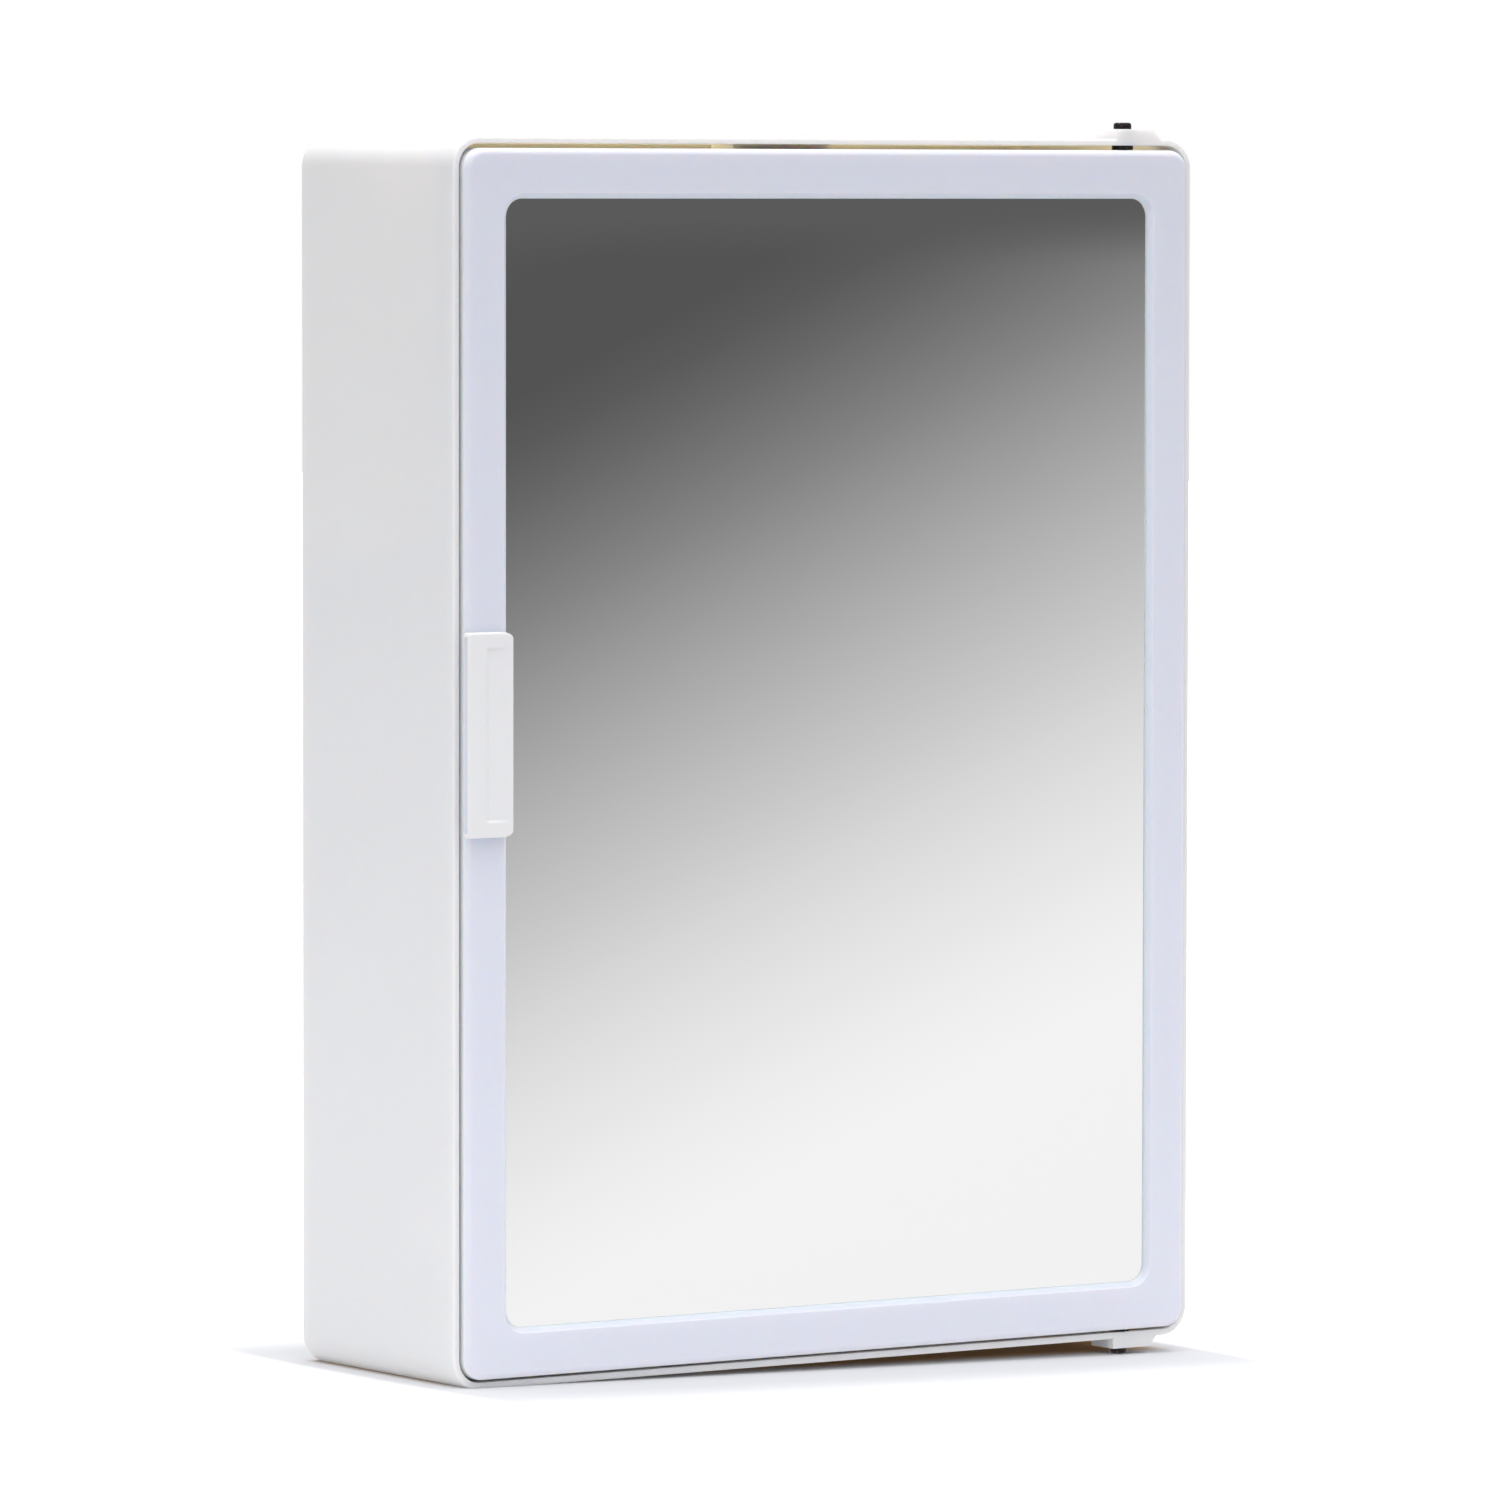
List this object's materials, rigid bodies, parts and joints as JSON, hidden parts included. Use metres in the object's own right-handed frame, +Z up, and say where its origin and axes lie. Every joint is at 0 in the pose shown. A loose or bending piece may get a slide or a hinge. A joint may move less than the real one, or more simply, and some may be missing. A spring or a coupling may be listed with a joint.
{
  "type": "bathroom mirror cabinet",
  "caption": "Shallow white moulded wall cabinet with a side-hinged framed mirror door, pull handle, shelves and magnetic catch.",
  "frame": {"origin": "centre of the four wall-fixing holes, on the plane that meets the wall", "axes": "+Z up, +X to the right seen from the front, the mirror door faces -Y and the wall is at +Y"},
  "size_m": [0.296, 0.1006, 0.417],
  "materials": {
    "body_plastic": "satin moulded white",
    "door_plastic": "glossy cool white",
    "handle_plastic": "fine satin white",
    "shelf_plastic": "satin moulded white",
    "catch_plastic": "moulded",
    "mirror": "silvered glass",
    "foam": "closed-cell foam sheet",
    "ferrite": "ground ferrite",
    "zinc_steel": "zinc plated",
    "black_steel": "blackened steel with worn edges",
    "bumper_rubber": "soft matte"
  },
  "bodies": {
    "cabinet": {"cabinet_body": "body_plastic", "lower_shelf": "shelf_plastic", "upper_shelf": "shelf_plastic", "catch_housing": "catch_plastic", "catch_magnet": "ferrite", "catch_pole_plates": "zinc_steel", "catch_screws": "zinc_steel", "door_bumpers": "bumper_rubber", "upper_hinge_screw": "black_steel", "lower_hinge_screw": "black_steel", "upper_hinge_washer": "black_steel", "lower_hinge_washer": "black_steel"},
    "door": {"door_frame": "door_plastic", "mirror_glass": "mirror", "mirror_backing_sheet": "foam", "door_back_panel": "shelf_plastic", "back_panel_screws": "zinc_steel", "strike_plate": "zinc_steel", "strike_plate_screws": "zinc_steel", "door_handle": "handle_plastic", "handle_screws": "zinc_steel"}
  },
  "joints": [
    {"name": "door_swing", "type": "hinge", "parent": "cabinet", "child": "door", "pos_m": [0.1221, -0.09, 0], "axis": [0, 0, 1], "range_deg": [0, 150]}
  ]
}
